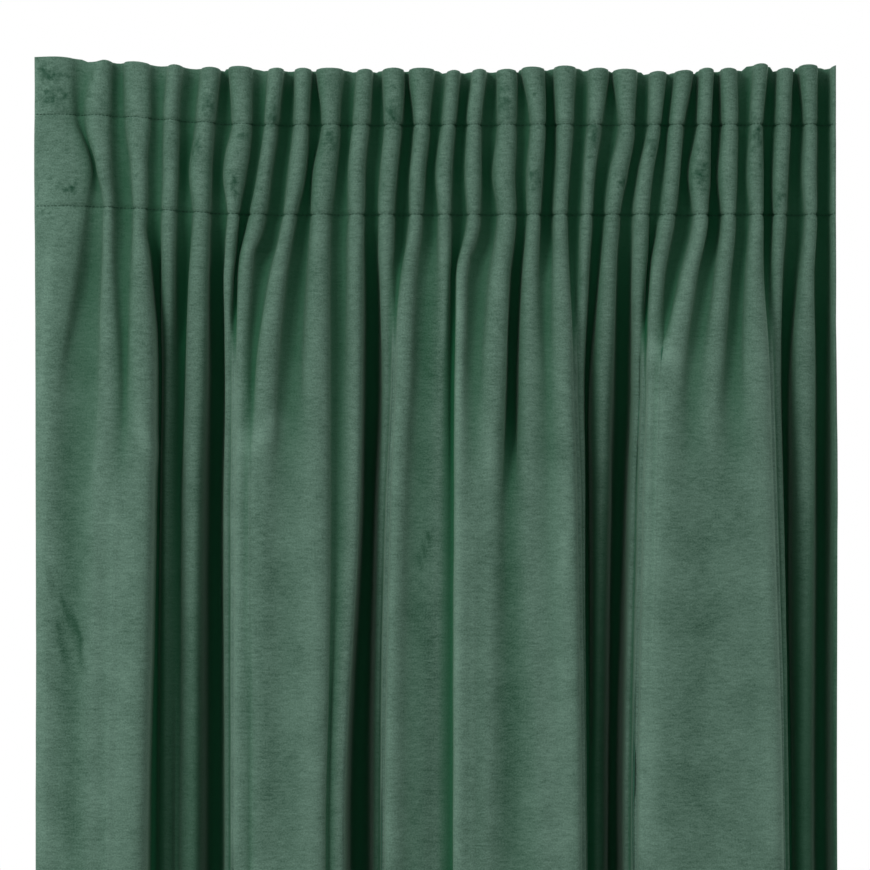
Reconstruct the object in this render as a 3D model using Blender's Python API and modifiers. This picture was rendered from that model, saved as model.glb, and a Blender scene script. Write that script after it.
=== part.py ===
"""Velvet curtain panel with a gathered heading, hanging in its folds.

One length of velvet, 1.4 m wide when flat, gathered to about half of that.  Metres, +Z up, the pile side looks
along -Y.  The origin is the middle of the top edge, where the panel is held.

A section across the cloth is a row of pleats.  Each pleat has a rounded crest, and a rounded valley follows it on
its right.  Two tables state every pleat: one through the sewn heading, one where the cloth hangs free.  The sheet
is the loft through the sections, and Solidify gives it the thickness of the cloth.
"""

import math

import bmesh
import bpy
import numpy as np

MM = 0.001

# Driving sizes of the panel.
DROP = 2450 * MM                # top edge to bottom hem
FLAT_WIDTH = 1400 * MM          # the cut width between the finished side edges
LEFT_EDGE = -360 * MM           # where the left side edge hangs
ROW_1 = 50 * MM                 # upper row of stitching, below the top edge
ROW_2 = 131 * MM                # lower row of stitching
TURNED_TOP = 138 * MM           # depth of the cloth turned to the back at the top
CLOTH = 1.6 * MM                # velvet, backing and pile
DOUBLE_CLOTH = 3.2 * MM         # two layers, where the top is turned over

# Heights that the tables are stated at, as drops below the top edge.
NECK = 191 * MM
WAIST = 285 * MM
KNEE = 394 * MM
FOOT = 690 * MM

# The heading.  Centre of each crest at the top edge and at both rows of stitching, its width there, and how far its
# top edge stands above the line of the heading.  Millimetres, from the left side to the right.
HEADING_COLUMNS = ("top", "row_1", "row_2", "wide_top", "wide_row_1", "wide_row_2", "rise")
HEADING = (
    (-339, -338, -334, 24, 26, 40, 2),
    (-298, -304, -294, 14, 23, 10, 0),
    (-269, -268, -266, 23, 22, 13, 0),
    (-234, -238, -240, 14, 13, 13, 0),
    (-202, -207, -211, 17, 17, 16, 0),
    (-175, -174, -182, 22, 17, 10, 2),
    (-143, -148, -160, 14, 12, 15, 1),
    (-119, -121, -131, 16, 14, 12, 1),
    (-95, -94, -103, 25, 16, 18, 1),
    (-63, -67, -71, 14, 15, 14, 0),
    (-37, -38, -44, 21, 16, 14, 1),
    (-13, -12, -17, 25, 14, 12, 1),
    (17, 12, 9, 13, 13, 12, -1),
    (40, 35, 35, 13, 13, 12, 0),
    (65, 65, 65, 19, 17, 17, 0),
    (88, 93, 89, 22, 14, 12, 2),
    (117, 117, 113, 20, 16, 13, 3),
    (148, 144, 137, 20, 14, 11, 1),
    (171, 173, 160, 23, 14, 14, 0),
    (201, 198, 186, 16, 12, 14, -2),
    (225, 218, 210, 17, 14, 14, -1),
    (245, 243, 240, 13, 13, 14, 1),
    (265, 266, 265, 14, 14, 13, 1),
    (294, 290, 290, 14, 12, 13, 5),
    (316, 314, 311, 15, 14, 12, 1),
    (337, 339, 339, 17, 12, 11, 4),
    (360, 360, 360, 8, 8, 8, 3),
)

# The hanging cloth.  Centre of each crest at the four heights, its width, how far its crest stands in front of the
# heading (behind it when negative) at the waist and at the foot, and the depth of the valley on its right at the
# four heights.  A valley of no depth has run out, and its two pleats have joined into one fold.  Millimetres.
HANGING_COLUMNS = (
    "neck", "waist", "knee", "foot", "wide", "front_waist", "front_foot",
    "deep_neck", "deep_waist", "deep_knee", "deep_foot",
)
HANGING = (
    (-339, -346, -348, -348, 20, -3, -5, 14, 10, 5, 2),
    (-295, -294, -301, -306, 20, 2, 0, 10, 7, 0, 0),
    (-265, -263, -265, -273, 25, 3, 4, 24, 26, 28, 30),
    (-241, -243, -245, -246, 14, -28, -45, 20, 14, 10, 2),
    (-214, -217, -220, -222, 20, -14, -35, 28, 35, 40, 38),
    (-186, -186, -188, -188, 9, -12, -30, 12, 0, 0, 0),
    (-172, -175, -175, -176, 14, 0, 2, 14, 6, 0, 2),
    (-142, -152, -154, -154, 20, 6, 3, 18, 12, 2, 1),
    (-105, -107, -107, -109, 24, 2, 4, 14, 12, 9, 6),
    (-72, -73, -75, -88, 16, -6, -4, 28, 36, 44, 50),
    (-44, -43, -47, -52, 12, -18, -35, 8, 0, 0, 0),
    (-24, -30, -35, -40, 19, 0, 2, 10, 7, 5, 3),
    (9, 6, 4, 2, 16, -4, -6, 12, 10, 8, 8),
    (23, 22, 23, 22, 12, 8, 10, 14, 7, 0, 0),
    (58, 53, 49, 46, 21, 8, 8, 26, 28, 6, 5),
    (86, 85, 85, 99, 20, 2, 8, 10, 6, 3, 0),
    (114, 117, 121, 125, 20, 4, 8, 10, 2, 0, 0),
    (134, 131, 134, 138, 9, -15, -30, 20, 26, 26, 12),
    (156, 152, 150, 148, 20, -18, -50, 24, 34, 42, 50),
    (185, 185, 181, 175, 10, -18, -25, 14, 2, 0, 0),
    (200, 195, 193, 187, 15, 4, 6, 14, 0, 0, 0),
    (228, 213, 210, 206, 22, 8, 6, 14, 7, 0, 0),
    (259, 250, 248, 247, 19, 6, 6, 14, 9, 0, 0),
    (288, 290, 294, 302, 25, 6, 8, 12, 4, 0, 0),
    (309, 310, 313, 321, 9, -20, -35, 22, 24, 26, 14),
    (336, 335, 336, 337, 22, -16, -45, 22, 26, 34, 30),
    (360, 360, 360, 360, 8, -22, -40, 0, 0, 0, 0),
)

# How the pleats behave between and beyond the tables.
HEADING_DEPTH = 21 * MM         # front to back of a heading pleat
PINCH = 0.14                    # share of that depth which each row of stitching takes away
PINCH_REACH = 14 * MM           # how far above and below a row the pinch reaches
LEAST_GAP = 4 * MM              # neighbouring pleats never come closer than this
END_TURN = 7 * MM               # the left side edge lies this far behind its crest
VALLEY_DIP = 2 * MM             # top edge, lower in the valleys
RISE_REACH = 30 * MM            # how fast the unevenness of the top edge dies away downwards
LEFT_LIFT = 9 * MM              # the heading is held higher at its left end
LIFT_FROM, LIFT_TO = -130 * MM, -350 * MM
LIFT_FADE = 420 * MM            # drop at which that lift has hung out
HEM_FLARE = 1.03                # the bottom hem spreads a little
SWAY = 7 * MM                   # slow wander of each fold below the foot
HEM_WAVE = 3 * MM               # unevenness of the bottom hem

# Heights of the sections, and the places in each flank that the sheet passes through.
SECTIONS = (0, 25, 50, 90, 131, 160, 191, 240, 285, 340, 394, 520, 690, 1300, 2450)
FLANK_STOPS = (1 / 6, 1 / 2, 5 / 6)


def table(names, rows):
    """The columns of a table by name, in metres."""
    return {name: np.array([row[i] for row in rows]) * MM for i, name in enumerate(names)}


def ease(t):
    """0 to 1 with a soft start and a soft end."""
    t = np.clip(t, 0.0, 1.0)
    return t * t * t * (10 - 15 * t + 6 * t * t)


def smooth_through(stops, values, at):
    """Values read at one height from a curve that passes through the stops and never overshoots them."""
    stops = np.array(stops)
    values = np.array(values)
    step = np.diff(stops)[:, None]
    slope = np.diff(values, axis=0) / step
    tangent = np.zeros_like(values)
    same_way = slope[:-1] * slope[1:] > 0
    harmonic = 2 * slope[:-1] * slope[1:] / np.where(same_way, slope[:-1] + slope[1:], 1)
    tangent[1:-1] = np.where(same_way, harmonic, 0)
    tangent[0] = slope[0]
    k = int(np.clip(np.searchsorted(stops, at) - 1, 0, len(stops) - 2))
    t = (at - stops[k]) / (stops[k + 1] - stops[k])
    start = (1 + 2 * t) * (1 - t) ** 2 * values[k] + t * t * (3 - 2 * t) * values[k + 1]
    return start + (stops[k + 1] - stops[k]) * (t * (1 - t) ** 2 * tangent[k] - t * t * (1 - t) * tangent[k + 1])


def heading_depth(drop):
    """Front-to-back depth of the heading pleats, pinched at both rows of stitching."""
    pinch = sum(math.exp(-(((drop - row) / PINCH_REACH) ** 2)) for row in (ROW_1, ROW_2))
    return HEADING_DEPTH * (1 - PINCH * pinch)


def pleats_at(drop):
    """Centre, width, front and valley depth of every pleat at one height."""
    head = table(HEADING_COLUMNS, HEADING)
    hang = table(HANGING_COLUMNS, HANGING)
    still = np.zeros(len(HEADING))
    phase = 2.4 * np.arange(len(HEADING))
    hem = hang["foot"] * HEM_FLARE + SWAY * np.sin(phase)
    hem[-1] = hang["foot"][-1] * HEM_FLARE
    heights = (0, ROW_1, ROW_2, NECK, WAIST, KNEE, FOOT, DROP)
    centre = smooth_through(heights, (
        head["top"], head["row_1"], head["row_2"], hang["neck"], hang["waist"], hang["knee"], hang["foot"], hem,
    ), drop)
    wide = smooth_through((0, ROW_1, ROW_2, WAIST, DROP), (
        head["wide_top"], head["wide_row_1"], head["wide_row_2"], hang["wide"], hang["wide"],
    ), drop)
    front = smooth_through((0, ROW_2, WAIST, FOOT, DROP), (
        still, still, hang["front_waist"], hang["front_foot"], hang["front_foot"],
    ), drop)
    sewn = still + HEADING_DEPTH
    deep = smooth_through((0, ROW_2, NECK, WAIST, KNEE, FOOT, DROP), (
        sewn, sewn, hang["deep_neck"], hang["deep_waist"], hang["deep_knee"], hang["deep_foot"], hang["deep_foot"],
    ), drop)
    if drop < NECK:
        deep = deep * heading_depth(drop) / HEADING_DEPTH
    return centre, wide, front, deep


def flank(crest_x, edge_x, valley_x, crest_front, valley_front, stops):
    """Points from a crest, round its shoulder, back along the flank and round into the valley."""
    depth = crest_front - valley_front
    crest_round = min(abs(edge_x - crest_x), max(depth, 0) / 2)
    valley_round = min(abs(valley_x - edge_x), max(depth, 0) / 2)
    points = []
    for stop in stops:
        turn = math.sin(math.pi * stop)
        x = edge_x + (crest_x - edge_x) * (1 - turn)
        if stop > 0.5:
            x = edge_x + (valley_x - edge_x) * (1 - turn)
        round_part = crest_round * (1 - math.cos(math.pi * min(stop, 0.5)))
        round_part += valley_round * -math.cos(math.pi * max(stop, 0.5))
        straight = (depth - crest_round - valley_round) * float(ease((stop - 0.25) / 0.5))
        points.append((x, crest_front - round_part - straight))
    return points


def section(drop, depth_scale, flank_stops):
    """One section across the cloth as rows of (x, front, share of the way from valley to crest, pleat)."""
    centre, wide, front, deep = pleats_at(drop)
    front = front * depth_scale
    deep = deep * depth_scale
    rows = [(LEFT_EDGE, front[0] - END_TURN, 1.0, 0)]
    for i in range(len(centre) - 1):
        right_edge = centre[i] + wide[i] / 2
        next_edge = centre[i + 1] - wide[i + 1] / 2
        short = max(0.0, LEAST_GAP - (next_edge - right_edge)) / 2
        right_edge -= short
        next_edge += short
        valley_x = (right_edge + next_edge) / 2
        valley_front = (front[i] + front[i + 1]) / 2 - deep[i]
        down = flank(centre[i], right_edge, valley_x, front[i], valley_front, flank_stops)
        up = flank(centre[i + 1], next_edge, valley_x, front[i + 1], valley_front, flank_stops)
        rows += [(x, y, 1 - stop, i) for (x, y), stop in zip(down, flank_stops)]
        rows += [(x, y, 1 - stop, i + 1) for (x, y), stop in zip(up[::-1], flank_stops[::-1])]
    rows.append((centre[-1], front[-1], 1.0, len(centre) - 1))
    return np.array(rows)


def cloth_length(rows):
    """Length of the cloth along a section."""
    return float(np.hypot(np.diff(rows[:, 0]), np.diff(rows[:, 1])).sum())


def depth_scale_at(drop):
    """Cloth does not stretch: the depth of the folds that takes up the whole flat width at this height."""
    fine = [(k + 0.5) / 8 for k in range(8)]
    low, high = 0.5, 2.0
    for _ in range(18):
        middle = (low + high) / 2
        if cloth_length(section(drop, middle, fine)) < FLAT_WIDTH:
            low = middle
        else:
            high = middle
    return middle


def top_rise(rows, drop):
    """How far each point of a section stands above its own drop: lift at the left end, uneven top edge and hem."""
    head = table(HEADING_COLUMNS, HEADING)
    crest_share = rows[:, 2]
    rise = head["rise"][rows[:, 3].astype(int)] - VALLEY_DIP * (1 - crest_share)
    rise = rise * math.exp(-((drop / RISE_REACH) ** 2))
    lift = LEFT_LIFT * ease((LIFT_FROM - rows[:, 0]) / (LIFT_FROM - LIFT_TO)) * (1 - ease(drop / LIFT_FADE))
    hem = HEM_WAVE * np.sin(9 * rows[:, 0] / FLAT_WIDTH * math.pi) * ease((drop - FOOT) / (DROP - FOOT))
    return rise + lift + hem


def sheet_points():
    """The sheet as a grid of points, section by section from the top."""
    grid = []
    for height in SECTIONS:
        drop = height * MM
        rows = section(drop, depth_scale_at(drop), FLANK_STOPS)
        up = top_rise(rows, drop) - drop
        grid.append([(x, -front, z) for x, front, z in zip(rows[:, 0], rows[:, 1], up)])
    return grid


def velvet_material():
    """Green cut-pile velvet."""
    material = bpy.data.materials.new("green_velvet")
    material.use_nodes = True
    shader = material.node_tree.nodes["Principled BSDF"]
    shader.inputs["Base Color"].default_value = (0.028, 0.107, 0.063, 1.0)
    shader.inputs["Roughness"].default_value = 0.95
    shader.inputs["Metallic"].default_value = 0.0
    return material


def velvet_panel(collection):
    """The hanging sheet: a loft through the sections, double where the top is turned over."""
    grid = sheet_points()
    mesh_maker = bmesh.new()
    verts = [[mesh_maker.verts.new(point) for point in line] for line in grid]
    for upper, lower in zip(verts, verts[1:]):
        for k in range(len(upper) - 1):
            mesh_maker.faces.new((upper[k], lower[k], lower[k + 1], upper[k + 1]))
    mesh = bpy.data.meshes.new("velvet_panel")
    mesh_maker.to_mesh(mesh)
    mesh_maker.free()
    panel = bpy.data.objects.new("velvet_panel", mesh)
    collection.objects.link(panel)
    mesh.materials.append(velvet_material())
    mesh.shade_smooth()
    layers = panel.vertex_groups.new(name="layers")
    per_line = len(grid[0])
    for line, height in enumerate(SECTIONS):
        doubled = height * MM <= TURNED_TOP
        weight = 1.0 if doubled else CLOTH / DOUBLE_CLOTH
        layers.add(list(range(line * per_line, (line + 1) * per_line)), weight, "REPLACE")
    thick = panel.modifiers.new("cloth", "SOLIDIFY")
    thick.thickness = DOUBLE_CLOTH
    thick.offset = -1.0
    thick.vertex_group = "layers"
    thick.use_even_offset = False
    return panel


def main():
    for old in list(bpy.data.objects):
        bpy.data.objects.remove(old, do_unlink=True)
    collection = bpy.data.collections.new("velvet_curtain_panel")
    bpy.context.scene.collection.children.link(collection)
    velvet_panel(collection)


main()
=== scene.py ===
# %% [markdown]
# # A velvet curtain panel with a gathered heading
#
# The object is one length of green velvet, 1.4 m wide before it is gathered and 2.45 m long. Its top is turned to
# the back and caught by two rows of machine stitching. The gathers run out below the heading into a few deep folds.
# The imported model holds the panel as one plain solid. This script keeps that solid's place and size and makes the
# cloth that is seen: its folds, hems, creases, stitches, pile and backing.

import math

import bpy
import numpy as np
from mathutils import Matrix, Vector, noise


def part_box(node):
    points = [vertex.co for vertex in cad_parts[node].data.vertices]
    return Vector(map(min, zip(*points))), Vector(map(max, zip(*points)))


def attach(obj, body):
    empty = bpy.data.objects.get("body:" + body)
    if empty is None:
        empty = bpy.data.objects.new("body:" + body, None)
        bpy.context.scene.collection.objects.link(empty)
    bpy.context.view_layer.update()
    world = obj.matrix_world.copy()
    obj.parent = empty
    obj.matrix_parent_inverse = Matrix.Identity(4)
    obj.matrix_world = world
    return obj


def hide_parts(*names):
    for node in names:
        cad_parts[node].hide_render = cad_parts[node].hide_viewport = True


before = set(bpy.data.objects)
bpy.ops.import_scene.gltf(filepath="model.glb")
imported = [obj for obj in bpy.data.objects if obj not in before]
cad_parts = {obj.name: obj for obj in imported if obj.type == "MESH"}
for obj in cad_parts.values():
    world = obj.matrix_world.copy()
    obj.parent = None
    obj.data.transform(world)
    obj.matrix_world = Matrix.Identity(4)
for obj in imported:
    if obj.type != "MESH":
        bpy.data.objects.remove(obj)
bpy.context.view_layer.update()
PANEL = "velvet_panel"
panel_low, panel_high = (Vector(corner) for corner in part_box(PANEL))
print("panel node", [round(v, 4) for v in (*panel_low, *panel_high)])

MM = 0.001

# %% [markdown]
# ## Small helpers
#
# Colours are written as the sRGB hex values that one would pick from a colour card. The shader works in linear
# light, so one function turns them over. One more function adds a shader node, sets its values and links it, which
# keeps every material to a short list of lines.

# %% Helpers for colours and nodes
def linear(hex_code, alpha=1.0):
    """An sRGB hex colour as linear RGBA."""
    parts = [int(hex_code[i:i + 2], 16) / 255 for i in (1, 3, 5)]
    return (*[p / 12.92 if p <= 0.04045 else ((p + 0.055) / 1.055) ** 2.4 for p in parts], alpha)


def add_node(tree, kind, inputs=None, **settings):
    """A new node with its settings; each input takes a value or the output socket to link from."""
    node = tree.nodes.new(kind)
    for name, value in settings.items():
        setattr(node, name, value)
    for name, value in (inputs or {}).items():
        if isinstance(value, bpy.types.NodeSocket):
            tree.links.new(value, node.inputs[name])
        else:
            node.inputs[name].default_value = value
    return node


# %% [markdown]
# ## The panel's sizes
#
# A maker thinks of a curtain in a few sizes: its drop, its cut width, where the rows of stitching run, and how much
# cloth each hem takes. Everything below is worked out from these. Heights are drops below the top edge.

# %% Driving sizes
DROP = 2450 * MM
FLAT_WIDTH = 1400 * MM
LEFT_EDGE = -362 * MM
ROW_1 = 50 * MM
ROW_2 = 131 * MM
TURNED_TOP = 138 * MM
SIDE_HEM = 26 * MM
BOTTOM_HEM = 80 * MM
CLOTH = 1.6 * MM
DOUBLE_CLOTH = 3.2 * MM

BAND = 95 * MM
NECK = 191 * MM
WAIST = 285 * MM
KNEE = 394 * MM
FOOT = 690 * MM
print("cut area", round(FLAT_WIDTH * DROP, 2), "m2")

# %% [markdown]
# ## The pleats, one row each
#
# A gathered heading is never even, so each of its pleats is stated one by one. The first table follows the crests
# through the sewn heading. The second follows the same crests down the hanging cloth: where each one goes, how far
# forward it stands, and how deep the valley on its right is. A valley of no depth has run out, and the two pleats
# beside it have become one fold. That is how a row of small gathers turns into a few large folds.

# %% Tables of the pleats, in millimetres from the middle of the panel
HEADING_COLUMNS = (
    "top", "row_1", "band", "row_2", "wide_top", "wide_row_1", "wide_band", "wide_row_2", "deep", "rise",
)
HEADING = (
    (-339, -338, -328, -334, 24, 26, 37, 40, 9, 2),
    (-298, -304, -299, -294, 14, 23, 15, 10, 12, 0),
    (-269, -268, -267, -266, 23, 22, 14, 13, 12, 0),
    (-234, -238, -238, -240, 14, 13, 13, 13, 15, 0),
    (-202, -207, -212, -211, 17, 17, 20, 16, 18, 0),
    (-175, -174, -181, -182, 22, 17, 20, 10, 15, 2),
    (-143, -148, -154, -160, 14, 12, 12, 15, 19, 1),
    (-119, -121, -125, -131, 16, 14, 16, 12, 18, 1),
    (-95, -94, -100, -103, 25, 16, 21, 18, 16, 1),
    (-63, -67, -71, -71, 14, 15, 15, 14, 18, 0),
    (-37, -38, -42, -44, 21, 16, 15, 14, 20, 1),
    (-13, -12, -16, -17, 25, 14, 14, 12, 16, 1),
    (17, 12, 8, 9, 13, 13, 15, 12, 17, -1),
    (40, 35, 34, 35, 13, 13, 15, 12, 18, 0),
    (65, 65, 62, 65, 19, 17, 20, 17, 15, 0),
    (88, 93, 90, 89, 22, 14, 14, 12, 20, 2),
    (117, 117, 115, 113, 20, 16, 13, 13, 16, 3),
    (148, 144, 139, 137, 20, 14, 11, 11, 17, 1),
    (171, 173, 165, 160, 23, 14, 17, 14, 17, 0),
    (201, 198, 190, 186, 16, 12, 13, 14, 14, -2),
    (225, 218, 214, 210, 17, 14, 14, 14, 20, -1),
    (245, 243, 239, 240, 13, 13, 20, 14, 22, 1),
    (265, 266, 264, 265, 14, 14, 17, 13, 14, 1),
    (294, 290, 289, 290, 14, 12, 15, 13, 18, 5),
    (316, 314, 312, 311, 15, 14, 14, 12, 20, 1),
    (337, 339, 338, 339, 17, 12, 13, 11, 18, 4),
    (361, 361, 361, 361, 8, 8, 8, 8, 18, 3),
)
HANGING_COLUMNS = (
    "neck", "waist", "knee", "foot", "wide", "front_waist", "front_foot",
    "deep_neck", "deep_waist", "deep_knee", "deep_foot",
)
HANGING = (
    (-339, -346, -348, -348, 20, -3, -5, 14, 10, 5, 2),
    (-295, -294, -301, -306, 20, 2, 0, 10, 7, 0, 0),
    (-265, -263, -265, -273, 25, 3, 4, 24, 26, 28, 30),
    (-241, -243, -245, -246, 14, -28, -45, 20, 14, 10, 2),
    (-214, -217, -220, -222, 20, -14, -35, 28, 35, 40, 38),
    (-186, -186, -188, -188, 9, -12, -30, 12, 0, 0, 0),
    (-172, -175, -175, -176, 14, 0, 2, 14, 6, 0, 2),
    (-142, -152, -154, -154, 20, 6, 3, 18, 12, 2, 1),
    (-105, -107, -107, -109, 24, 2, 4, 14, 12, 9, 6),
    (-72, -73, -75, -88, 16, -6, -4, 28, 36, 44, 50),
    (-44, -43, -47, -52, 12, -18, -35, 8, 0, 0, 0),
    (-24, -30, -35, -40, 19, 0, 2, 10, 7, 5, 3),
    (9, 6, 4, 2, 16, -4, -6, 12, 10, 8, 8),
    (23, 22, 23, 22, 12, 8, 10, 14, 7, 0, 0),
    (58, 53, 49, 46, 21, 8, 8, 26, 28, 6, 5),
    (86, 85, 85, 99, 20, 2, 8, 10, 6, 3, 0),
    (114, 117, 121, 125, 20, 4, 8, 10, 2, 0, 0),
    (134, 131, 134, 138, 9, -15, -30, 20, 26, 26, 12),
    (156, 152, 150, 148, 20, -18, -50, 24, 34, 42, 50),
    (185, 185, 181, 175, 10, -18, -25, 14, 2, 0, 0),
    (200, 195, 193, 187, 15, 4, 6, 14, 0, 0, 0),
    (228, 213, 210, 206, 22, 8, 6, 14, 7, 0, 0),
    (259, 250, 248, 247, 19, 6, 6, 14, 9, 0, 0),
    (288, 290, 294, 302, 25, 6, 8, 12, 4, 0, 0),
    (309, 310, 313, 321, 9, -20, -35, 22, 24, 26, 14),
    (336, 335, 336, 337, 22, -16, -45, 22, 26, 34, 30),
    (362, 364, 366, 367, 8, -22, -40, 0, 0, 0, 0),
)


def table(names, rows):
    """The columns of a table by name, in metres."""
    return {name: np.array([row[i] for row in rows]) * MM for i, name in enumerate(names)}


head = table(HEADING_COLUMNS, HEADING)
hang = table(HANGING_COLUMNS, HANGING)
print(len(HEADING), "pleats across the heading")

# %% [markdown]
# ## How one height turns into the next
#
# The tables state each pleat at a few heights only. Cloth between them bends smoothly and never swings past its
# next stop, so the curve through the stops is a monotone one. An ordinary spline would overshoot and add waves.

# %% Smooth steps and curves through the stated heights
def ease(t):
    """0 to 1 with a soft start and a soft end."""
    t = np.clip(t, 0.0, 1.0)
    return t * t * t * (10 - 15 * t + 6 * t * t)


def smooth_through(stops, values, at):
    """Values read at one height from a curve that passes through the stops and never overshoots them."""
    stops = np.array(stops)
    values = np.array(values)
    step = np.diff(stops)[:, None]
    slope = np.diff(values, axis=0) / step
    tangent = np.zeros_like(values)
    same_way = slope[:-1] * slope[1:] > 0
    harmonic = 2 * slope[:-1] * slope[1:] / np.where(same_way, slope[:-1] + slope[1:], 1)
    tangent[1:-1] = np.where(same_way, harmonic, 0)
    tangent[0] = slope[0]
    k = int(np.clip(np.searchsorted(stops, at) - 1, 0, len(stops) - 2))
    t = (at - stops[k]) / (stops[k + 1] - stops[k])
    start = (1 + 2 * t) * (1 - t) ** 2 * values[k] + t * t * (3 - 2 * t) * values[k + 1]
    return start + (stops[k + 1] - stops[k]) * (t * (1 - t) ** 2 * tangent[k] - t * t * (1 - t) * tangent[k + 1])


# %% [markdown]
# ## Pleats at any height
#
# Each row of stitching holds the gathers flatter than the loose cloth above and below it, so the depth is pinched
# at both rows. Below the last stated height the folds only wander a little on their way to the hem.

# %% Read every pleat at one height
BAND_DEEPER = 4 * MM
PINCH = 0.12
PINCH_REACH = 14 * MM
HEM_FLARE = 1.03
SWAY = 7 * MM


def pinched(drop):
    """Share of its depth that a pleat keeps beside the rows of stitching."""
    return 1 - PINCH * sum(math.exp(-(((drop - row) / PINCH_REACH) ** 2)) for row in (ROW_1, ROW_2))


def pleats_at(drop):
    """Centre, width, front and valley depth of every pleat at one height."""
    still = np.zeros(len(HEADING))
    hem = hang["foot"] * HEM_FLARE + SWAY * np.sin(2.4 * np.arange(len(HEADING)))
    hem[-1] = hang["foot"][-1] * HEM_FLARE
    centre = smooth_through((0, ROW_1, BAND, ROW_2, NECK, WAIST, KNEE, FOOT, DROP), (
        head["top"], head["row_1"], head["band"], head["row_2"],
        hang["neck"], hang["waist"], hang["knee"], hang["foot"], hem,
    ), drop)
    wide = smooth_through((0, ROW_1, BAND, ROW_2, WAIST, DROP), (
        head["wide_top"], head["wide_row_1"], head["wide_band"], head["wide_row_2"], hang["wide"], hang["wide"],
    ), drop)
    front = smooth_through((0, ROW_2, WAIST, FOOT, DROP), (
        still, still, hang["front_waist"], hang["front_foot"], hang["front_foot"],
    ), drop)
    deep = smooth_through((0, ROW_1, BAND, ROW_2, NECK, WAIST, KNEE, FOOT, DROP), (
        head["deep"], head["deep"], head["deep"] + BAND_DEEPER, head["deep"] + BAND_DEEPER / 2,
        hang["deep_neck"], hang["deep_waist"], hang["deep_knee"], hang["deep_foot"], hang["deep_foot"],
    ), drop)
    return centre, wide, front, deep * pinched(drop)


print("share of depth kept at the rows", round(pinched(ROW_1), 2), round(pinched(ROW_2), 2))

# %% [markdown]
# ## One section across the cloth
#
# Between a crest and the valley beside it the cloth rounds a shoulder, runs straight back along a flank and rounds
# into the valley. The two bends are quarter circles where there is room for them. A cosine wave would be simpler,
# but its flanks lean, and a real fold shows a crisp edge because its flank runs away from the eye.

# %% Sections
LEAST_GAP = 4 * MM
OPEN_SHARE = 0.2
END_TURN = 7 * MM
GENTLE, STEEP = 5 * MM, 15 * MM
FAR_FROM, FAR_TO = 8 * MM, 35 * MM
LEANING = 0.8


def flank(crest_x, edge_x, valley_x, crest_front, valley_front, stops):
    """Points from a crest, round its shoulder, back along the flank and round into the valley."""
    depth = crest_front - valley_front
    crest_round = min(abs(edge_x - crest_x), max(depth, 0) / 2)
    valley_round = min(abs(valley_x - edge_x), max(depth, 0) / 2)
    far_behind = ease((-crest_front - FAR_FROM) / (FAR_TO - FAR_FROM))
    upright = ease((depth - GENTLE) / (STEEP - GENTLE)) * (1 - LEANING * far_behind)
    turn = upright * np.sin(math.pi * stops) + (1 - upright) * (1 - abs(1 - 2 * stops))
    far_x = np.where(stops > 0.5, valley_x, crest_x)
    x = edge_x + (far_x - edge_x) * (1 - turn)
    round_part = crest_round * (1 - np.cos(math.pi * np.minimum(stops, 0.5)))
    round_part = round_part - valley_round * np.cos(math.pi * np.maximum(stops, 0.5))
    straight = (depth - crest_round - valley_round) * ease((stops - 0.25) / 0.5)
    return x, crest_front - round_part - straight


def even_stops(count):
    """Places along a flank, evenly spread and clear of both its ends."""
    return (np.arange(count) + 0.5) / count


def section(drop, depth_scale, counts):
    """One section across the cloth: x, front, nearness to a crest, the pleat of each point, and its share of painted
    shade.
    """
    centre, wide, front, deep = pleats_at(drop)
    front = front * depth_scale
    deep = deep * depth_scale
    ends = np.arange(counts["end"]) / counts["end"]
    spread = np.sin(ends * math.pi / 2)
    x = [LEFT_EDGE + (centre[0] - LEFT_EDGE) * ends]
    y = [front[0] - END_TURN * (1 - spread)]
    near = [np.ones(len(ends))]
    pleat = [np.zeros(len(ends), int)]
    painted_fold_shade = [np.zeros(len(ends))]
    for i in range(len(centre) - 1):
        right_edge = centre[i] + wide[i] / 2
        next_edge = centre[i + 1] - wide[i + 1] / 2
        short = max(0.0, LEAST_GAP - (next_edge - right_edge)) / 2
        right_edge -= short
        next_edge += short
        valley_x = (right_edge + next_edge) / 2
        valley_front = (front[i] + front[i + 1]) / 2 - deep[i]
        stops = even_stops(counts[i])
        down = flank(centre[i], right_edge, valley_x, front[i], valley_front, stops)
        up = flank(centre[i + 1], next_edge, valley_x, front[i + 1], valley_front, stops)
        x += [down[0], up[0][::-1]]
        y += [down[1], up[1][::-1]]
        near += [1 - stops, (1 - stops)[::-1]]
        pleat += [np.full(len(stops), i), np.full(len(stops), i + 1)]
        # Painted shade: the share of the sky hidden by the fold's sides, from its depth against its width, sets how
        # dark the colour is painted.
        between = (np.concatenate([down[0], up[0][::-1]]) - centre[i]) / (centre[i + 1] - centre[i])
        level = front[i] + (front[i + 1] - front[i]) * between
        steepness = (level - np.concatenate([down[1], up[1][::-1]])) / (next_edge - right_edge + OPEN_SHARE * wide[i])
        painted_fold_shade.append(1 + steepness - np.sqrt(1 + steepness ** 2))
    x.append([centre[-1]])
    y.append([front[-1]])
    near.append([1.0])
    pleat.append([len(centre) - 1])
    painted_fold_shade.append([0.0])
    return [np.concatenate(part) for part in (x, y, near, pleat, painted_fold_shade)]


def cloth_length(x, y):
    """Length of the cloth along a section."""
    return float(np.hypot(np.diff(x), np.diff(y)).sum())


# %% [markdown]
# ## Cloth does not stretch
#
# Whatever its folds do, the panel is 1.4 m wide at every height. So the depth of the folds is not free: at each
# height it is the depth that takes up the whole width. Halving an interval finds it in a few steps.

# %% Depth of the folds at each height
PLAIN_COUNTS = {i: 8 for i in range(len(HEADING))} | {"end": 2}


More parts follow.
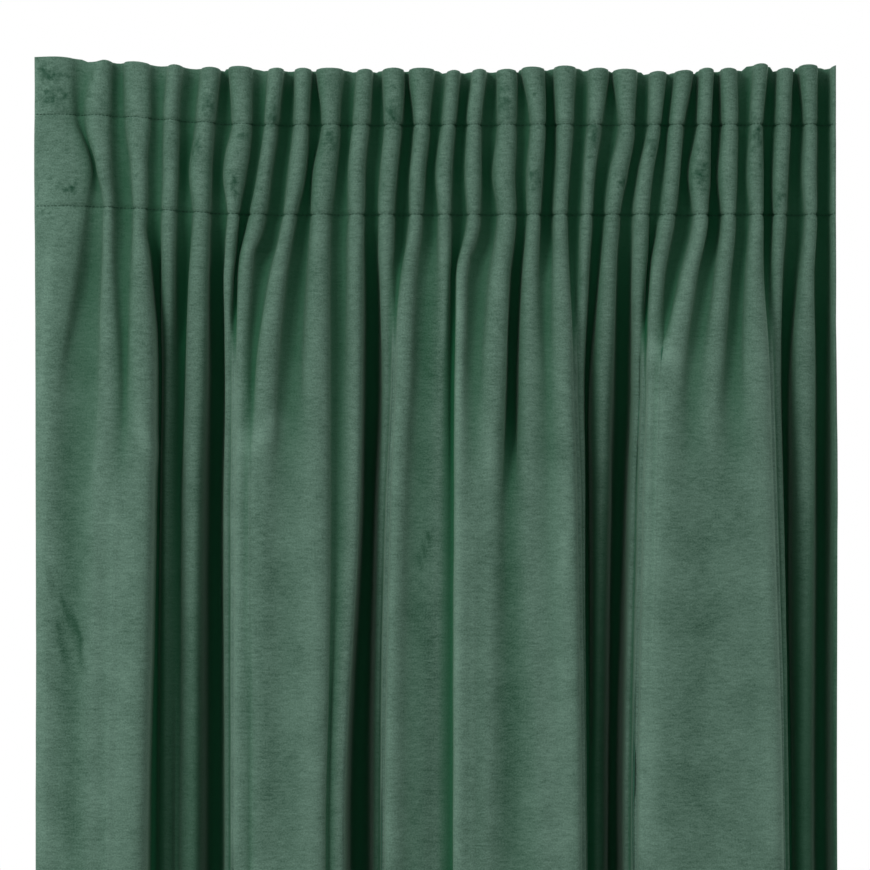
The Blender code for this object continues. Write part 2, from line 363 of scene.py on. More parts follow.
def depth_scale_at(drop):
    """The depth of the folds that takes up the whole flat width at this height."""
    low, high = 0.5, 2.0
    for _ in range(16):
        middle = (low + high) / 2
        x, y = section(drop, middle, PLAIN_COUNTS)[:2]
        if cloth_length(x, y) < FLAT_WIDTH:
            low = middle
        else:
            high = middle
    return middle


print("depth scale at top, waist, foot", [round(depth_scale_at(d), 2) for d in (0.0, WAIST, FOOT)])

# %% [markdown]
# ## Where the mesh is fine
#
# The heading carries small pleats, stitches and puckers, so its rows lie about 3 mm apart. The hanging folds change
# slowly, and the plain cloth near the hem slower still. Two close rows mark each step in thickness, which keeps the
# edge of the turned top crisp. Deep flanks get more columns than shallow ones.

# %% Rows and columns of the sheet
EDGE_ROWS = [0.0, 0.5, 1.4, 3.0]


def row_heights():
    """Drops of all the mesh rows, in metres."""
    rows = [h * MM for h in EDGE_ROWS]
    rows += list(np.arange(6.0, 46.0, 3.2) * MM) + list(np.arange(54.5, 127.0, 3.4) * MM) + [134.8 * MM]
    rows += [row + step * MM for row in (ROW_1, ROW_2) for step in (-2.4, -1.0, 0, 1.0, 2.4)]
    rows += [TURNED_TOP - 0.5 * MM, TURNED_TOP + 0.9 * MM]
    rows += list(np.arange(143, 300, 6.5) * MM)
    rows += list(np.arange(307, 700, 11.5) * MM)
    rows += list(np.linspace(0.72, DROP - BOTTOM_HEM - 20 * MM, 18))
    rows += [DROP - BOTTOM_HEM - 0.8 * MM, DROP - BOTTOM_HEM + 0.8 * MM]
    rows += [DROP - h * MM for h in (55, 28, 8, 1.5, 0)]
    return np.array(sorted(rows))


def column_counts():
    """How many columns each flank gets: six, or up to ten where the fold is deep."""
    deepest = np.maximum(hang["deep_waist"], hang["deep_foot"])
    counts = {i: int(np.clip(round(deepest[i] / (4 * MM)), 6, 10)) for i in range(len(HEADING))}
    return counts | {"end": 8}


drops = row_heights()
counts = column_counts()
print(len(drops), "rows of cloth,", counts["end"] + 1 + 2 * sum(counts[i] for i in range(len(HEADING) - 1)), "columns")

# %% [markdown]
# ## The sheet itself
#
# The grid of points is the pile surface of the hanging cloth. Its top edge is uneven: the pleats stand up, the
# valleys dip, and the whole heading is held a little higher at its left end.

# %% Points of the bare folds
VALLEY_DIP = 2 * MM
RISE_REACH = 30 * MM
LEFT_LIFT = 9 * MM
LIFT_FROM, LIFT_TO = -130 * MM, -350 * MM
LIFT_FADE = 420 * MM
HEM_WAVE = 3 * MM
# Painted shade of the folds: the share at which it is fully dark, extra shade on cloth far behind the front, and less
# at the top edge where light reaches the valleys.
FULL_PAINTED_SHADE = 0.72
BEHIND_FROM, BEHIND_TO = 18 * MM, 60 * MM
BEHIND_SHADE_SHARE = 0.6
TOP_OPEN = 0.5
TOP_REACH = 12 * MM


def height_of(x, near, pleat, drop):
    """Where each point of a section stands above its own drop."""
    rise = (head["rise"][pleat] - VALLEY_DIP * (1 - near)) * math.exp(-((drop / RISE_REACH) ** 2))
    lift = LEFT_LIFT * ease((LIFT_FROM - x) / (LIFT_FROM - LIFT_TO)) * (1 - ease(drop / LIFT_FADE))
    hem = HEM_WAVE * np.sin(9 * x / FLAT_WIDTH * math.pi) * ease((drop - FOOT) / (DROP - FOOT))
    return rise + lift + hem


def sheet_grid():
    """Grid of points with the cloth's own coordinates (how far across, how far down, how near a crest) and the shade
    painted into its folds.
    """
    points, across, painted_shade = [], [], []
    for drop in drops:
        x, front, near, pleat, painted_fold_shade = section(drop, depth_scale_at(drop), counts)
        z = height_of(x, near, pleat, drop) - drop
        points.append(np.stack([x, -front, z], axis=1))
        along = np.concatenate([[0], np.cumsum(np.hypot(np.diff(x), np.diff(front)))])
        across.append(along / along[-1] * FLAT_WIDTH)
        # Painted shade: dark where a fold is deep and narrow and where the cloth hangs far behind, lighter at the top
        # edge.
        fold_shade_here = np.clip(painted_fold_shade, 0, FULL_PAINTED_SHADE) / FULL_PAINTED_SHADE * (1 - TOP_OPEN * math.exp(-((drop / TOP_REACH) ** 2)))
        shade_behind = BEHIND_SHADE_SHARE * ease((-front - BEHIND_FROM) / (BEHIND_TO - BEHIND_FROM))
        painted_shade.append(1 - (1 - fold_shade_here) * (1 - shade_behind))
    return np.array(points), np.array(across), np.array(painted_shade)


points, across, painted_shade = sheet_grid()
print("grid", points.shape, "lowest and highest y", points[..., 1].min().round(4), points[..., 1].max().round(4))

# %% [markdown]
# ## Creases, dents and puckers
#
# Gathered velvet is never smooth. Four things are added along the surface's own normal: a groove where each row of
# stitching pulls the cloth in, small puckers around those rows, slow unevenness everywhere, and a table of dents and
# swellings. Bump alone would not change the outline, so these are real shape.

# %% Relief on the cloth
GROOVE = 1.4 * MM
GROOVE_REACH = 1.7 * MM
PRESSED_LINE = 5 * MM
PUCKER = 0.5 * MM
PUCKER_REACH = 16 * MM
SLOW_WAVE = 1.5 * MM
SOFT_WAVE = 0.45 * MM

# Across, down, half width, half height, how far it is pressed in (out when negative), lean to the right per metre down.
DENT_COLUMNS = ("across", "down", "half_wide", "half_high", "deep", "lean")
DENTS = (
    (-262, 146, 5, 16, 2.5, 0.30),
    (-155, 163, 8, 10, 3.5, -0.35),
    (34, 170, 2.5, 8, 2.0, 0.20),
    (-178, 78, 10, 16, -3.0, 0.0),
    (-260, 340, 7, 14, -2.5, 0.2),
    (-156, 334, 12, 18, -3.0, -0.3),
    (49, 358, 6, 13, -2.2, -0.2),
    (206, 256, 12, 18, -3.0, -0.3),
    (118, 434, 7, 10, -1.2, 0.0),
    (-9, 434, 3, 14, 1.0, -0.35),
    (208, 140, 5, 5, -2.0, 0.0),
)


def surface_normals(grid):
    """Unit normals of a grid of points, out of the pile side."""
    right = np.gradient(grid, axis=1)
    down = np.gradient(grid, axis=0)
    normal = np.cross(down, right)
    return normal / np.linalg.norm(normal, axis=2, keepdims=True)


def noise_field(u, v, size_u, size_v, offset):
    """Smooth noise over the cloth with the given size of its waves."""
    field = np.empty(u.shape)
    for row in range(u.shape[0]):
        for col in range(u.shape[1]):
            place = Vector((u[row, col] / size_u + offset, v[row, col] / size_v - offset, offset))
            field[row, col] = noise.noise(place)
    return field


def relief():
    """How far each point of the sheet moves along its normal."""
    down = np.repeat(drops[:, None], points.shape[1], axis=1)
    x = points[..., 0]
    by_row = sum(np.exp(-(((down - row) / PUCKER_REACH) ** 2)) for row in (ROW_1, ROW_2))
    groove = sum(np.exp(-(((down - row) / GROOVE_REACH) ** 2)) for row in (ROW_1, ROW_2))
    pressed = sum(np.exp(-(((down - row - PRESSED_LINE) / GROOVE_REACH) ** 2)) for row in (ROW_1, ROW_2))
    inside = ease(np.minimum(across, FLAT_WIDTH - across) / SIDE_HEM)
    move = -(GROOVE * groove + 0.25 * GROOVE * pressed) * inside
    move += PUCKER * by_row * noise_field(across, down, 7 * MM, 26 * MM, 3.1)
    heading = 1 - ease((down - ROW_2) / (NECK - ROW_2))
    move += SLOW_WAVE * (1 - 0.6 * heading) * noise_field(across, down, 42 * MM, 260 * MM, 7.7)
    move += SOFT_WAVE * (0.6 + heading) * noise_field(across, down, 14 * MM, 40 * MM, 11.3)
    for row in DENTS:
        dent = dict(zip(DENT_COLUMNS, row))
        below = down - dent["down"] * MM
        beside = x - dent["across"] * MM - dent["lean"] * below
        shape = (beside / (dent["half_wide"] * MM)) ** 2 + (below / (dent["half_high"] * MM)) ** 2
        move -= dent["deep"] * MM * np.exp(-shape)
    return move


normals = surface_normals(points)
points = points + normals * relief()[..., None]
normals = surface_normals(points)
print("relief done, y from", points[..., 1].min().round(4), "to", points[..., 1].max().round(4))

# %% [markdown]
# ## Pile marks, painted highlights and painted shade
#
# Velvet changes tone with the way its pile lies. Brushed towards the light it looks dull and dark, and brushed away
# from it or stretched over a fold it looks pale. A table of soft strokes sets this tone, and most of it is painted
# light and shade: the pale strokes, long ones down the folds and short ones where a fold ends, are painted highlights
# on the lit left edges, crests and tips of folds, and the dull ones paint the shade of troughs and of dim bands down
# the fold faces. Only the short, very dull strokes are marks where a hand has pressed the pile. A second value says
# how much of the pile is crushed, which it is nearly everywhere in the sewn heading. Both are kept on the mesh for
# the material.

# %% Strokes of painted light and shade, pile marks and crushed places
# Pale strokes paint highlights and dull strokes paint shade; the short, very dull ones are marks in the pile.
LAY_AND_LIGHT_COLUMNS = ("across", "down", "to_across", "to_down", "half_wide", "pale")
LAY_AND_PAINTED_LIGHT = (
    (-348, 170, -356, 284, 5, 3.5),
    (-357, 284, -357, 700, 7, 2.5),
    (-332, 335, -330, 690, 10, -3.5),
    (-288, 389, -290, 700, 20, 2.0),
    (-350, 451, -345, 467, 2.5, -7),
    (-336, 479, -322, 509, 2.5, -8),
    (-322, 509, -318, 537, 2.5, -7),
    (-339, 506, -334, 529, 3, -6),
    (-264, 322, -258, 344, 6, 5),
    (-181, 284, -183, 700, 5, 4.5),
    (-168, 340, -146, 322, 9, 5.5),
    (-162, 272, -170, 311, 4, -3.5),
    (-150, 389, -150, 700, 10, -2.5),
    (-111, 360, -111, 700, 9, 2.0),
    (-72, 300, -74, 420, 6, 1.5),
    (-38, 299, -44, 700, 9, 2.0),
    (-4, 209, -6, 700, 15, -3.0),
    (-6, 422, -14, 445, 2.5, -8),
    (-20, 482, -2, 545, 9, -2.0),
    (21, 190, 17, 700, 7, 4.0),
    (64, 362, 66, 700, 12, -4.0),
    (49, 335, 51, 366, 6, 4.5),
    (109, 371, 113, 700, 14, 2.5),
    (118, 425, 118, 440, 6, 3.0),
    (240, 146, 214, 245, 8, 3.0),
    (197, 252, 216, 262, 10, 5.5),
    (198, 300, 189, 700, 10, 4.0),
    (240, 344, 240, 700, 26, -2.5),
    (245, 506, 270, 520, 4, -2.0),
    (223, 636, 240, 662, 4, -2.0),
    (297, 209, 306, 700, 10, 3.0),
)
CRUSH_COLUMNS = ("across", "down", "half_wide", "half_high")
CRUSHES = (
    (-348, 14, 12, 8),
    (-344, 35, 16, 9),
    (-330, 116, 9, 5),
    (-204, 34, 6, 12),
    (-216, 74, 5, 12),
    (-174, 62, 5, 6),
    (-180, 104, 5, 12),
    (-146, 40, 5, 16),
    (-94, 64, 6, 10),
    (-38, 40, 6, 18),
    (20, 90, 6, 14),
    (63, 30, 7, 14),
    (90, 100, 6, 12),
    (142, 60, 6, 14),
    (170, 104, 7, 10),
    (196, 70, 6, 16),
    (240, 95, 8, 12),
    (290, 60, 6, 16),
    (312, 115, 6, 9),
)
STROKE_END = 14 * MM
HEADING_CRUSH = 0.35
BELOW_CRUSH = 0.06


def rows_of(names, rows):
    """The rows of a table as dictionaries."""
    return [dict(zip(names, row)) for row in rows]


def pile_lay_and_painted_light():
    """Tone at each point, from -1 for dull to 1 for pale: painted highlights and painted shade, with marks in the pile.
    """
    down = np.repeat(drops[:, None], points.shape[1], axis=1)
    tone = np.zeros(down.shape)
    for stroke in rows_of(LAY_AND_LIGHT_COLUMNS, LAY_AND_PAINTED_LIGHT):
        start = np.array([stroke["across"], stroke["down"]]) * MM
        run = np.array([stroke["to_across"], stroke["to_down"]]) * MM - start
        length = np.linalg.norm(run)
        along = ((points[..., 0] - start[0]) * run[0] + (down - start[1]) * run[1]) / length
        beside = ((points[..., 0] - start[0]) * run[1] - (down - start[1]) * run[0]) / length
        past = np.maximum(np.maximum(-along, along - length), 0)
        end = min(STROKE_END, stroke["half_wide"] * 3 * MM)
        reach = np.exp(-((beside / (stroke["half_wide"] * MM)) ** 2) - (past / end) ** 2)
        tone += stroke["pale"] / 10 * reach
    return np.clip(tone, -1, 1)


def crushed_pile():
    """Share of the pile that is crushed at each point."""
    down = np.repeat(drops[:, None], points.shape[1], axis=1)
    amount = BELOW_CRUSH + (HEADING_CRUSH - BELOW_CRUSH) * (1 - ease((down - ROW_2) / (NECK - ROW_2)))
    for place in rows_of(CRUSH_COLUMNS, CRUSHES):
        beside = (points[..., 0] - place["across"] * MM) / (place["half_wide"] * MM)
        below = (down - place["down"] * MM) / (place["half_high"] * MM)
        amount += 0.6 * np.exp(-(beside ** 2) - below ** 2)
    return np.clip(amount, 0, 1)


lay_and_painted_light = pile_lay_and_painted_light()
crush = crushed_pile()
print("pile lay", lay_and_painted_light.min().round(2), lay_and_painted_light.max().round(2), "mean crush", crush.mean().round(3))

# %% [markdown]
# ## From the grid to a closed sheet
#
# Solidify gives the sheet its thickness on the back, and a vertex group thickens it wherever a hem makes it two
# layers: the turned top, both side hems and the bottom hem. The outer edges are folds of the cloth and not cuts, so
# the thickness runs out in a round there. The modifier is made real so that the back can be told from the front.

# %% Build the sheet
def thickness_share(u, v):
    """Share of the doubled thickness at a point of the cloth."""
    doubled = v < TURNED_TOP or v > DROP - BOTTOM_HEM or u < SIDE_HEM or u > FLAT_WIDTH - SIDE_HEM
    return 1.0 if doubled else CLOTH / DOUBLE_CLOTH


def edge_round(distance):
    """0 on a folded edge, rising to 1 within half the doubled thickness."""
    t = min(distance / (DOUBLE_CLOTH / 2), 1.0)
    return math.sqrt(max(0.0, 1 - (1 - t) ** 2))


def make_sheet():
    """The velvet as one closed mesh with UVs in metres of flat cloth."""
    lines, cols = across.shape
    shaped = points.copy()
    shares = np.empty((lines, cols))
    for i in range(lines):
        for j in range(cols):
            u, v = across[i, j], drops[i]
            rounding = edge_round(min(u, FLAT_WIDTH - u, v, DROP - v))
            shares[i, j] = thickness_share(u, v) * max(rounding, 0.12)
            shaped[i, j] -= normals[i, j] * (1 - rounding) * DOUBLE_CLOTH / 2
    faces = []
    for i in range(lines - 1):
        for j in range(cols - 1):
            a = i * cols + j
            faces.append((a, a + cols, a + cols + 1, a + 1))
    mesh = bpy.data.meshes.new(PANEL)
    mesh.from_pydata(shaped.reshape(-1, 3).tolist(), [], faces)
    flat = mesh.uv_layers.new(name="flat_cloth")
    for loop in mesh.loops:
        i, j = divmod(loop.vertex_index, cols)
        flat.data[loop.index].uv = (across[i, j], DROP - drops[i])
    for name, field in (("painted_shade", painted_shade), ("lay_and_painted_light", lay_and_painted_light), ("crush", crush)):
        mesh.attributes.new(name, "FLOAT", "POINT").data.foreach_set("value", field.reshape(-1))
    cloth = bpy.data.objects.new("velvet_cloth", mesh)
    bpy.context.scene.collection.objects.link(cloth)
    layers = cloth.vertex_groups.new(name="layers")
    for index, share in enumerate(shares.reshape(-1)):
        layers.add([index], float(share), "REPLACE")
    thick = cloth.modifiers.new("cloth", "SOLIDIFY")
    thick.thickness = DOUBLE_CLOTH
    thick.offset = -1.0
    thick.vertex_group = "layers"
    thick.material_offset = 1
    return cloth


def made_real(piece):
    """The piece with its modifiers applied to its mesh."""
    seen = piece.evaluated_get(bpy.context.evaluated_depsgraph_get())
    mesh = bpy.data.meshes.new_from_object(seen)
    piece.modifiers.clear()
    piece.data = mesh
    return piece


velvet = make_sheet()
print("sheet", len(velvet.data.vertices), "points before it has a thickness")

# %% [markdown]
# ## Velvet
#
# The finish is a polyester velvet, a short dense cut pile on a knitted back. Pile swallows light that meets it head
# on and returns a soft bright rim where it is seen edge on. So the roughness is nearly one, and the shader's sheen
# carries part of the pale bloom; the rest of the bloom is painted into the greyish green of the fold fronts. Painted
# shade turns that colour a deep green down in the folds, the darker the deeper and narrower the fold. Fine lines
# across the cloth are the courses of the knit. They are really half a millimetre apart and are drawn at 2 mm so that
# they show. Where the pile has been crushed it lies over and looks darker, mostly on the pleats of the heading.

# %% Velvet material
# Both tone greens are greyish: part of the sheen bloom is painted into the colour.
PALE_GREEN = linear("#6A8879")
DULL_GREEN = linear("#2B4839")
# Painted shade: the deep green the colour goes to down in the folds.
PAINTED_SHADE_GREEN = linear("#164E32")
CRUSHED_GREEN = linear("#1B3F2E")
FINE_GRAIN = 1.5 * MM
COURSE = 2.4 * MM
COURSE_RUN = 9 * MM
PATCH = 38 * MM
FLECK = 7 * MM


def mixed(tree, factor, first, second):
    """A colour between two others."""
    node = add_node(tree, "ShaderNodeMix", {"Factor": factor, "A": first, "B": second}, data_type="RGBA")
    return node.outputs["Result"]


def worked_out(tree, operation, *inputs):
    """One step of arithmetic in a material."""
    return add_node(tree, "ShaderNodeMath", dict(enumerate(inputs)), operation=operation).outputs["Value"]


def velvet_material():
    """Cut-pile polyester velvet: a greyish green with painted highlights, painted shade and pile marks from the tone
    strokes, painted deep green in the folds, under a pale sheen.
    """
    material = bpy.data.materials.new("polyester_velvet")
    material.use_nodes = True
    tree = material.node_tree
    shader = tree.nodes["Principled BSDF"]
    shader.inputs["Roughness"].default_value = 0.9
    shader.inputs["Specular IOR Level"].default_value = 0.1
    shader.inputs["Sheen Weight"].default_value = 0.3
    shader.inputs["Sheen Roughness"].default_value = 0.45
    shader.inputs["Sheen Tint"].default_value = linear("#B9DCC6")
    flat = add_node(tree, "ShaderNodeTexCoord").outputs["UV"]
    squeezed = add_node(
        tree, "ShaderNodeMapping", {"Vector": flat, "Scale": (1 / COURSE_RUN, 1 / COURSE, 1.0)}).outputs["Vector"]
    grain = add_node(
        tree, "ShaderNodeTexNoise", {"Vector": flat, "Scale": 1 / FINE_GRAIN, "Detail": 2.0, "Roughness": 0.7})
    courses = add_node(
        tree, "ShaderNodeTexNoise", {"Vector": squeezed, "Scale": 1.0, "Detail": 3.0, "Distortion": 0.6})
    patches = add_node(
        tree, "ShaderNodeTexNoise", {"Vector": flat, "Scale": 1 / PATCH, "Detail": 5.0, "Roughness": 0.6})
    flecks = add_node(
        tree, "ShaderNodeTexNoise", {"Vector": flat, "Scale": 1 / FLECK, "Detail": 5.0, "Roughness": 0.65})
    # Kept on the mesh: the painted fold shade, the tone strokes of painted light and pile marks, and the crushed pile.
    painted_fold_shade = add_node(tree, "ShaderNodeAttribute", attribute_name="painted_shade").outputs["Fac"]
    lay_and_light_factor = add_node(tree, "ShaderNodeAttribute", attribute_name="lay_and_painted_light").outputs["Fac"]
    crushes = add_node(tree, "ShaderNodeAttribute", attribute_name="crush").outputs["Fac"]
    # Painted highlights and painted shade of the tone strokes, with the pile marks, move the colour towards pale or
    # dull.
    tone = worked_out(tree, "MULTIPLY_ADD", lay_and_light_factor, 0.5, -0.72)
    tone = worked_out(tree, "MULTIPLY_ADD", grain.outputs["Fac"], 1.1, tone)
    tone = worked_out(tree, "MULTIPLY_ADD", courses.outputs["Fac"], 0.7, tone)
    tone = worked_out(tree, "MULTIPLY_ADD", patches.outputs["Fac"], 0.64, tone)
    level = worked_out(tree, "MULTIPLY_ADD", crushes, 0.42, flecks.outputs["Fac"])
    fleck = add_node(tree, "ShaderNodeMapRange", {"Value": level, "From Min": 0.70, "From Max": 1.02})
    body = mixed(tree, tone, DULL_GREEN, PALE_GREEN)
    body = mixed(tree, fleck.outputs["Result"], body, CRUSHED_GREEN)
    # Painted shade: the colour turns to the deep shade green as the painted fold shade rises.
    tree.links.new(mixed(tree, painted_fold_shade, body, PAINTED_SHADE_GREEN), shader.inputs["Base Color"])
    height = worked_out(tree, "ADD", grain.outputs["Fac"], courses.outputs["Fac"])
    bump = add_node(tree, "ShaderNodeBump", {"Height": height, "Strength": 0.7, "Distance": 0.6 * MM})
    tree.links.new(bump.outputs["Normal"], shader.inputs["Normal"])
    return material


# %% [markdown]
# The back of the velvet is its knitted ground: plain, without pile, in fine ribs that run down the cloth. They are
# half a millimetre apart and drawn at 2.5 mm.

# %% Backing material
BACK_GREEN = linear("#3D6E58")
BACK_SHADE = linear("#28503E")
RIB_SPACING = 2.5 * MM


def backing_material():
    """The knitted ground of the velvet, in fine ribs."""
    material = bpy.data.materials.new("knitted_polyester_ground")
    material.use_nodes = True
    tree = material.node_tree
    shader = tree.nodes["Principled BSDF"]
    shader.inputs["Roughness"].default_value = 0.85
    shader.inputs["Specular IOR Level"].default_value = 0.2
    flat = add_node(tree, "ShaderNodeTexCoord").outputs["UV"]
    ribs = add_node(
        tree, "ShaderNodeTexWave",
        {"Vector": flat, "Scale": math.pi / (10 * RIB_SPACING), "Distortion": 1.0, "Detail": 2.0},
        wave_type="BANDS", bands_direction="X",
    )
    fuzz = add_node(tree, "ShaderNodeTexNoise", {"Vector": flat, "Scale": 1 / (3 * MM), "Detail": 4.0})
    height = worked_out(tree, "ADD", ribs.outputs["Fac"], fuzz.outputs["Fac"])
    tone = worked_out(tree, "MULTIPLY", height, 0.5)
    tree.links.new(mixed(tree, tone, BACK_SHADE, BACK_GREEN), shader.inputs["Base Color"])
    bump = add_node(tree, "ShaderNodeBump", {"Height": height, "Strength": 0.5, "Distance": 0.4 * MM})
    tree.links.new(bump.outputs["Normal"], shader.inputs["Normal"])
    return material


# %% [markdown]
# Where the cloth is turned to the back, its pile side shows there too: over the top, down both side hems and along
# the bottom hem. The painted fold shade is turned round on the back, where a crest is a valley.

# %% Dress the sheet
def dress_back(piece):
    """Pile side on the turned hems of the back, with its own painted fold shade."""
    mesh = piece.data
    count = across.size
    values = np.empty(len(mesh.vertices), np.float32)
    mesh.attributes["painted_shade"].data.foreach_get("value", values)
    # Painted shade on the back: dark behind each crest of the front, light behind each of its valleys.
    values[count:2 * count] = 0.6 * (1 - values[:count])
    mesh.attributes["painted_shade"].data.foreach_set("value", values)
    flat = mesh.uv_layers["flat_cloth"].data
    for face in mesh.polygons:
        corners = [flat[k].uv for k in face.loop_indices]
        u = sum(corner[0] for corner in corners) / len(corners)
        v = DROP - sum(corner[1] for corner in corners) / len(corners)
        hem = min(u, FLAT_WIDTH - u) < SIDE_HEM or v < TURNED_TOP or v > DROP - BOTTOM_HEM
        if hem:
            face.material_index = 0


velvet.data.materials.append(velvet_material())
velvet.data.materials.append(backing_material())
velvet = made_real(velvet)
dress_back(velvet)
velvet.data.shade_smooth()
print("velvet", len(velvet.data.polygons), "faces")

# %% [markdown]
# ## Stitches
#
# Two rows of lockstitch hold the gathers, and they show on both sides of the heading. The hems are blind-stitched, so
# their thread shows only at the back. Each line is a path laid on the cloth, and Geometry Nodes puts one short
# rounded stitch after another along it. Every stitch is the same small shape, so it has few faces.

# %% Paths on the cloth
STITCH_PITCH = 3.4 * MM
STITCH_LENGTH = 2.9 * MM
THREAD = 0.7 * MM
HEM_PITCH = 5.0 * MM
THREAD_LIFT = 0.15 * MM


def sheet_faces():
    """Grids of the front and the back of the finished sheet."""
    flat = np.empty(len(velvet.data.vertices) * 3)
    velvet.data.vertices.foreach_get("co", flat)
    both = flat.reshape(-1, 3)[:2 * across.size]
    return both.reshape(2, *across.shape, 3)


front_face, back_face = sheet_faces()
print("thickness in the middle", np.linalg.norm(front_face - back_face, axis=2)[60, 100].round(5))


def on_cloth(face, away, u, v):
    """The point of a face of the sheet at a place of the flat cloth, lifted by the thread's own height."""
    i = int(np.clip(np.searchsorted(drops, v) - 1, 0, len(drops) - 2))
    t = (v - drops[i]) / (drops[i + 1] - drops[i])
    lifted = face + away * normals * THREAD_LIFT
    ends = [[np.interp(u, across[k], lifted[k, :, axis]) for axis in range(3)] for k in (i, i + 1)]
    return tuple(np.array(ends[0]) * (1 - t) + np.array(ends[1]) * t)


def path_mesh(name, lines):
    """Open lines as a mesh of edges."""
    verts, edges = [], []
    for line in lines:
        edges += [(len(verts) + k, len(verts) + k + 1) for k in range(len(line) - 1)]
        verts += line
    mesh = bpy.data.meshes.new(name)
    mesh.from_pydata(verts, edges, [])
    piece = bpy.data.objects.new(name, mesh)
    bpy.context.scene.collection.objects.link(piece)
    return piece


def across_line(face, away, v, margin=4 * MM, step=3 * MM):
    """A line across the cloth at one height."""
    return [on_cloth(face, away, u, v) for u in np.arange(margin, FLAT_WIDTH - margin, step)]


def down_line(u):
    """A line down the back of the cloth."""
    return [on_cloth(back_face, -1, u, v) for v in np.arange(TURNED_TOP + 6 * MM, DROP - 4 * MM, 12 * MM)]


# %% Geometry Nodes that sew along a path
def stitch_tree(material):
    """A node group that lays stitches along every edge path of a mesh."""
    tree = bpy.data.node_groups.new("stitches_along_a_path", "GeometryNodeTree")
    side = tree.interface
    side.new_socket("Geometry", in_out="INPUT", socket_type="NodeSocketGeometry")
    for name, value in (("Pitch", STITCH_PITCH), ("Stitch Length", STITCH_LENGTH), ("Thread", THREAD)):
        side.new_socket(name, in_out="INPUT", socket_type="NodeSocketFloat").default_value = value
    side.new_socket("Seed", in_out="INPUT", socket_type="NodeSocketInt").default_value = 7
    side.new_socket("Geometry", in_out="OUTPUT", socket_type="NodeSocketGeometry")
    given = tree.nodes.new("NodeGroupInput").outputs
    curve = add_node(tree, "GeometryNodeMeshToCurve", {"Mesh": given["Geometry"]})
    spaced = add_node(tree, "GeometryNodeResampleCurve", {"Curve": curve.outputs["Curve"], "Length": given["Pitch"]},
                      mode="LENGTH")
    spots = add_node(tree, "GeometryNodeCurveToPoints", {"Curve": spaced.outputs["Curve"]}, mode="EVALUATED")
    along = add_node(tree, "FunctionNodeAlignRotationToVector", {"Vector": spots.outputs["Tangent"]}, axis="X")
    ball = add_node(tree, "GeometryNodeMeshUVSphere", {"Segments": 6, "Rings": 4, "Radius": 0.5})
    stretch = add_node(tree, "ShaderNodeCombineXYZ", {0: given["Stitch Length"], 1: given["Thread"], 2: given["Thread"]})
    stitch = add_node(
        tree, "GeometryNodeTransform", {"Geometry": ball.outputs["Mesh"], "Scale": stretch.outputs["Vector"]})
    uneven = add_node(
        tree, "FunctionNodeRandomValue", {"Min": 0.85, "Max": 1.1, "Seed": given["Seed"]}, data_type="FLOAT")
    sewn = add_node(tree, "GeometryNodeInstanceOnPoints", {
        "Points": spots.outputs["Points"], "Instance": stitch.outputs["Geometry"],
        "Rotation": along.outputs["Rotation"],
    })
    tree.links.new([socket for socket in uneven.outputs if socket.enabled][0], sewn.inputs["Scale"])
    real = add_node(tree, "GeometryNodeRealizeInstances", {"Geometry": sewn.outputs["Instances"]})
    painted = add_node(
        tree, "GeometryNodeSetMaterial", {"Geometry": real.outputs["Geometry"], "Material": material})
    add_node(tree, "NodeGroupOutput", {"Geometry": painted.outputs["Geometry"]})
    return tree


def sew(name, lines, tree, **sizes):
    """A piece of stitches along the given lines, as a plain mesh."""
    piece = path_mesh(name, lines)
    nodes = piece.modifiers.new("stitches", "NODES")
    nodes.node_group = tree
    for item in tree.interface.items_tree:
        if item.in_out == "INPUT" and item.name in sizes:
            nodes[item.identifier] = sizes[item.name]
    return made_real(piece)


# %% [markdown]
# The thread is spun polyester, a little darker than the pile, with a soft shine along its twist.

# %% Thread, and both sets of stitches
THREAD_TWIST = 0.9 * MM


def thread_material():
    """Spun polyester sewing thread with its twist."""
    material = bpy.data.materials.new("spun_polyester_thread")
    material.use_nodes = True
    tree = material.node_tree
    shader = tree.nodes["Principled BSDF"]
    shader.inputs["Roughness"].default_value = 0.7
    shader.inputs["Specular IOR Level"].default_value = 0.2
    place = add_node(tree, "ShaderNodeTexCoord").outputs["Object"]
    twist = add_node(
        tree, "ShaderNodeTexWave", {"Vector": place, "Scale": math.pi / (10 * THREAD_TWIST)},
        wave_type="BANDS", bands_direction="DIAGONAL",
    )
    colour = mixed(tree, twist.outputs["Fac"], linear("#0E2C1E"), linear("#1D4634"))
    tree.links.new(colour, shader.inputs["Base Color"])
    bump = add_node(tree, "ShaderNodeBump", {"Height": twist.outputs["Fac"], "Strength": 0.4, "Distance": 0.1 * MM})
    tree.links.new(bump.outputs["Normal"], shader.inputs["Normal"])
    return material


sewing = stitch_tree(thread_material())
heading_lines = [across_line(face, away, row) for row in (ROW_1, ROW_2)
                 for face, away in ((front_face, 1), (back_face, -1))]
heading_stitches = sew("heading_stitches", heading_lines, sewing)
hem_lines = [down_line(SIDE_HEM - 2 * MM), down_line(FLAT_WIDTH - SIDE_HEM + 2 * MM),
             across_line(back_face, -1, DROP - BOTTOM_HEM + 3 * MM)]
hem_stitches = sew("hem_stitches", hem_lines, sewing, Pitch=HEM_PITCH)
for piece in (heading_stitches, hem_stitches):
    piece.data.shade_smooth()
    print(piece.name, len(piece.data.polygons), "faces")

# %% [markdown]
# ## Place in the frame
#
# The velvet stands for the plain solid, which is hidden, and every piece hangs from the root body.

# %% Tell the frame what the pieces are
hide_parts(PANEL)
for piece in (velvet, heading_stitches, hem_stitches):
    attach(piece, "root")

# %% [markdown]
# ## Studio
#
# A pale floor under the hem, a wide soft lamp in front and a little to the left, and a bright plain surround. The
# camera looks straight at the top part of the panel from a few metres away, level with the middle of the picture.

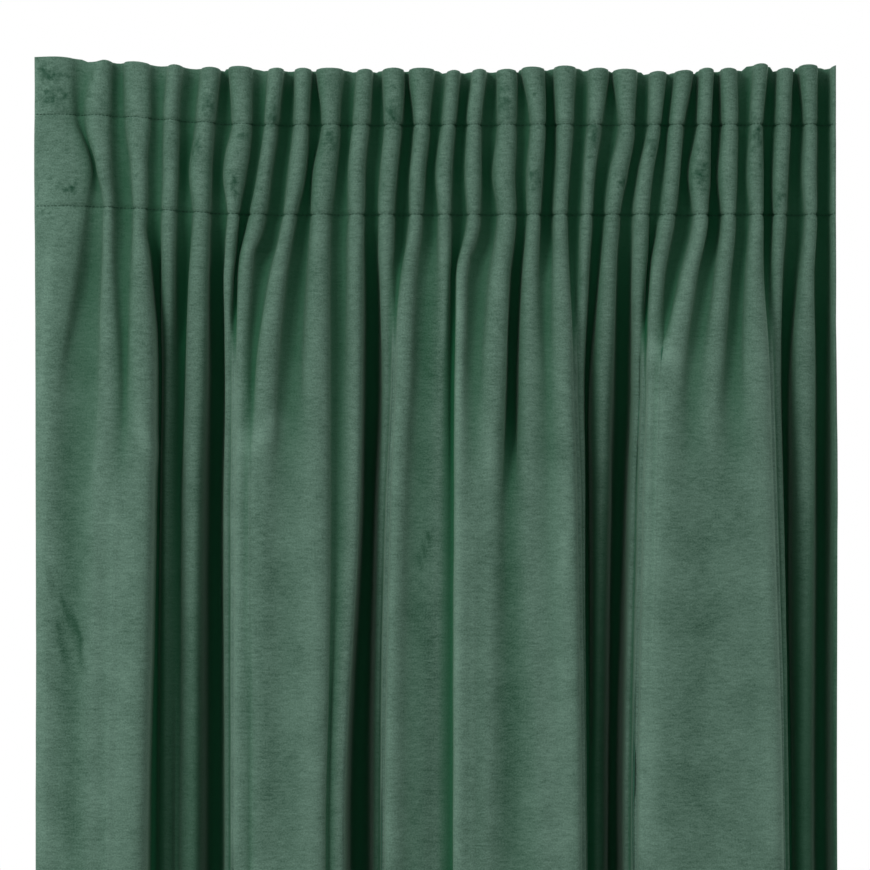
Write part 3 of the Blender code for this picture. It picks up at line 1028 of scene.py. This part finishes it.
# %% Floor, lights and camera
floor_mesh = bpy.data.meshes.new("floor")
half = 4.0
floor_z = panel_low.z - 25 * MM
floor_mesh.from_pydata([(-half, -half, floor_z), (half, -half, floor_z), (half, half, floor_z), (-half, half, floor_z)],
                       [], [(0, 1, 2, 3)])
floor = bpy.data.objects.new("floor", floor_mesh)
bpy.context.scene.collection.objects.link(floor)
floor_paint = bpy.data.materials.new("pale_floor")
floor_paint.use_nodes = True
floor_paint.node_tree.nodes["Principled BSDF"].inputs["Base Color"].default_value = linear("#E4E3E0")
floor_mesh.materials.append(floor_paint)


def soft_lamp(name, place, aim, size, power):
    """A square area lamp that points at a place."""
    light = bpy.data.lights.new(name, "AREA")
    light.size = size
    light.energy = power
    lamp = bpy.data.objects.new(name, light)
    lamp.location = place
    lamp.rotation_euler = (Vector(aim) - Vector(place)).to_track_quat("-Z", "Y").to_euler()
    bpy.context.scene.collection.objects.link(lamp)
    return lamp


view_height = -0.330
soft_lamp("key_lamp", (-1.9, -2.3, 1.3), (0, 0, view_height), 1.0, 55)
soft_lamp("rim_lamp", (-3.4, -0.5, 0.2), (0, 0, view_height), 1.0, 12)
soft_lamp("back_lamp", (1.5, 2.5, 0.6), (0, 0, -0.9), 2.0, 50)

world = bpy.data.worlds.new("studio")
bpy.context.scene.world = world
world.use_nodes = True
sky = world.node_tree
surround = sky.nodes["Background"]
surround.inputs["Color"].default_value = (1.0, 1.0, 1.0, 1.0)
surround.inputs["Strength"].default_value = 0.62
white = add_node(sky, "ShaderNodeBackground", {"Color": (1.0, 1.0, 1.0, 1.0), "Strength": 1.0})
ray = add_node(sky, "ShaderNodeLightPath")
pick = add_node(sky, "ShaderNodeMixShader", {
    0: ray.outputs["Is Camera Ray"], 1: surround.outputs["Background"], 2: white.outputs["Background"],
})
sky.links.new(pick.outputs["Shader"], sky.nodes["World Output"].inputs["Surface"])

camera_data = bpy.data.cameras.new("camera")
camera = bpy.data.objects.new("camera", camera_data)
bpy.context.scene.collection.objects.link(camera)
distance = 3.5
picture_width = 0.783
camera.location = (0, -distance, view_height)
camera.rotation_euler = (math.radians(90), 0, 0)
camera_data.sensor_width = 36
camera_data.lens = 36 * distance / picture_width
bpy.context.scene.camera = camera
bpy.context.scene.view_settings.view_transform = "Standard"
print("camera", tuple(round(v, 3) for v in camera.location), "lens", round(camera_data.lens, 1))
